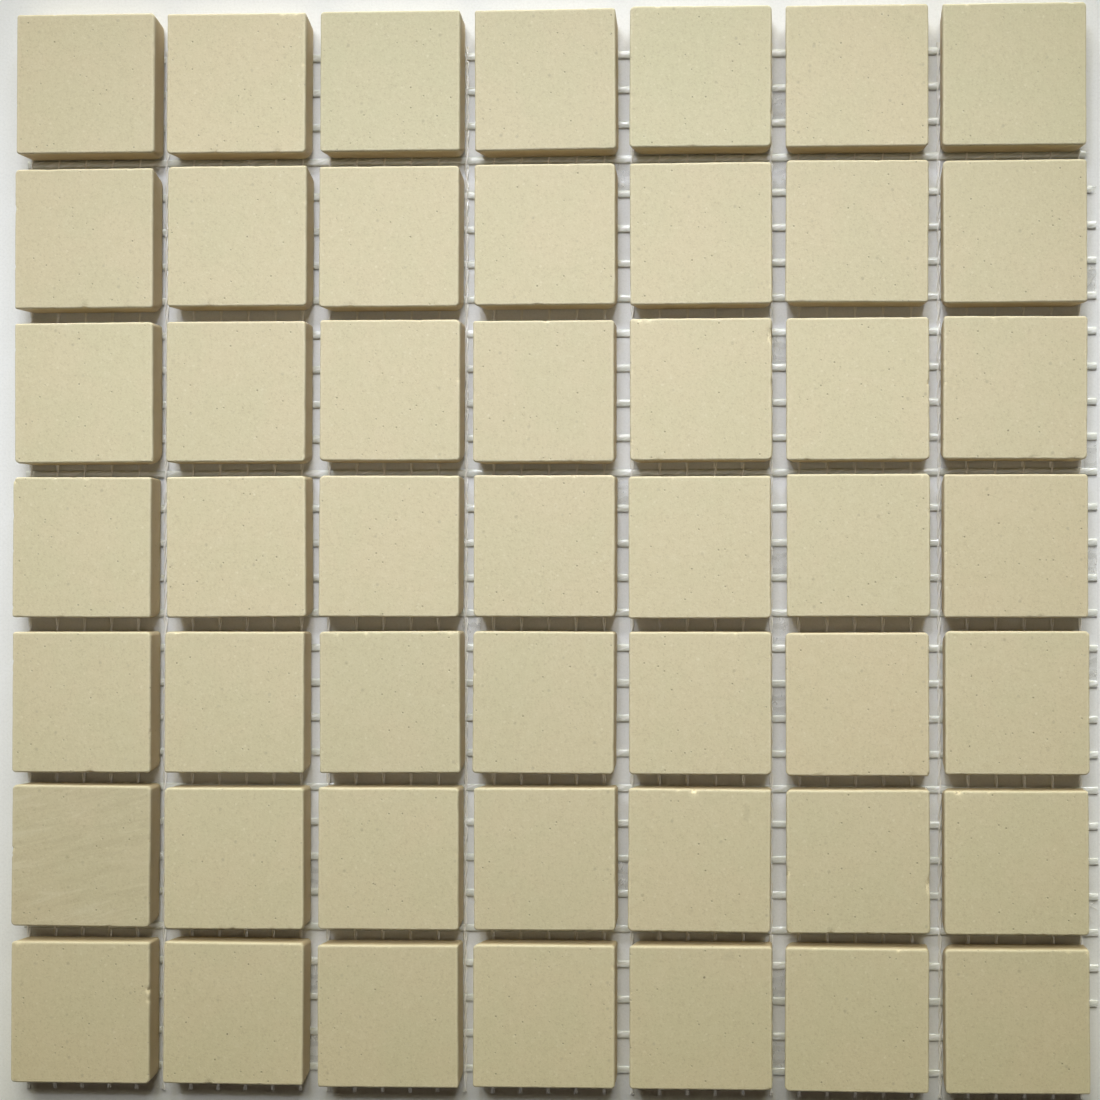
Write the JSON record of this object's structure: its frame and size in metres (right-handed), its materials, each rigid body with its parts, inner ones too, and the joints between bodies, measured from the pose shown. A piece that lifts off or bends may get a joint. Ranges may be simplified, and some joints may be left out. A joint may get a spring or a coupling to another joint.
{
  "type": "mosaic tile sheet",
  "caption": "Flat sheet of small square unglazed porcelain chips in an even grid, bonded face up to an open glass-fibre mesh.",
  "frame": {"origin": "middle of the sheet's footprint, on the surface that the mesh lies on", "axes": "+Z out of the chips' faces, +X across the sheet along the wefts towards the cut ends, +Y up the sheet along the warps"},
  "size_m": [0.1542, 0.1542, 0.0043],
  "materials": {
    "porcelain": "matt unglazed cream porcelain with fine dark and light specks, the same colour right through",
    "backing_mesh": "white coated glass-fibre yarn, flat wefts bound by thin paired warps"
  },
  "bodies": {
    "root": {"chip_r1_c1": "porcelain", "chip_r1_c2": "porcelain", "chip_r1_c3": "porcelain", "chip_r1_c4": "porcelain", "chip_r1_c5": "porcelain", "chip_r1_c6": "porcelain", "chip_r1_c7": "porcelain", "chip_r2_c1": "porcelain", "chip_r2_c2": "porcelain", "chip_r2_c3": "porcelain", "chip_r2_c4": "porcelain", "chip_r2_c5": "porcelain", "chip_r2_c6": "porcelain", "chip_r2_c7": "porcelain", "chip_r3_c1": "porcelain", "chip_r3_c2": "porcelain", "chip_r3_c3": "porcelain", "chip_r3_c4": "porcelain", "chip_r3_c5": "porcelain", "chip_r3_c6": "porcelain", "chip_r3_c7": "porcelain", "chip_r4_c1": "porcelain", "chip_r4_c2": "porcelain", "chip_r4_c3": "porcelain", "chip_r4_c4": "porcelain", "chip_r4_c5": "porcelain", "chip_r4_c6": "porcelain", "chip_r4_c7": "porcelain", "chip_r5_c1": "porcelain", "chip_r5_c2": "porcelain", "chip_r5_c3": "porcelain", "chip_r5_c4": "porcelain", "chip_r5_c5": "porcelain", "chip_r5_c6": "porcelain", "chip_r5_c7": "porcelain", "chip_r6_c1": "porcelain", "chip_r6_c2": "porcelain", "chip_r6_c3": "porcelain", "chip_r6_c4": "porcelain", "chip_r6_c5": "porcelain", "chip_r6_c6": "porcelain", "chip_r6_c7": "porcelain", "chip_r7_c1": "porcelain", "chip_r7_c2": "porcelain", "chip_r7_c3": "porcelain", "chip_r7_c4": "porcelain", "chip_r7_c5": "porcelain", "chip_r7_c6": "porcelain", "chip_r7_c7": "porcelain", "mesh_band_1": "backing_mesh", "mesh_band_2": "backing_mesh", "mesh_band_3": "backing_mesh", "mesh_band_4": "backing_mesh"}
  },
  "joints": []
}
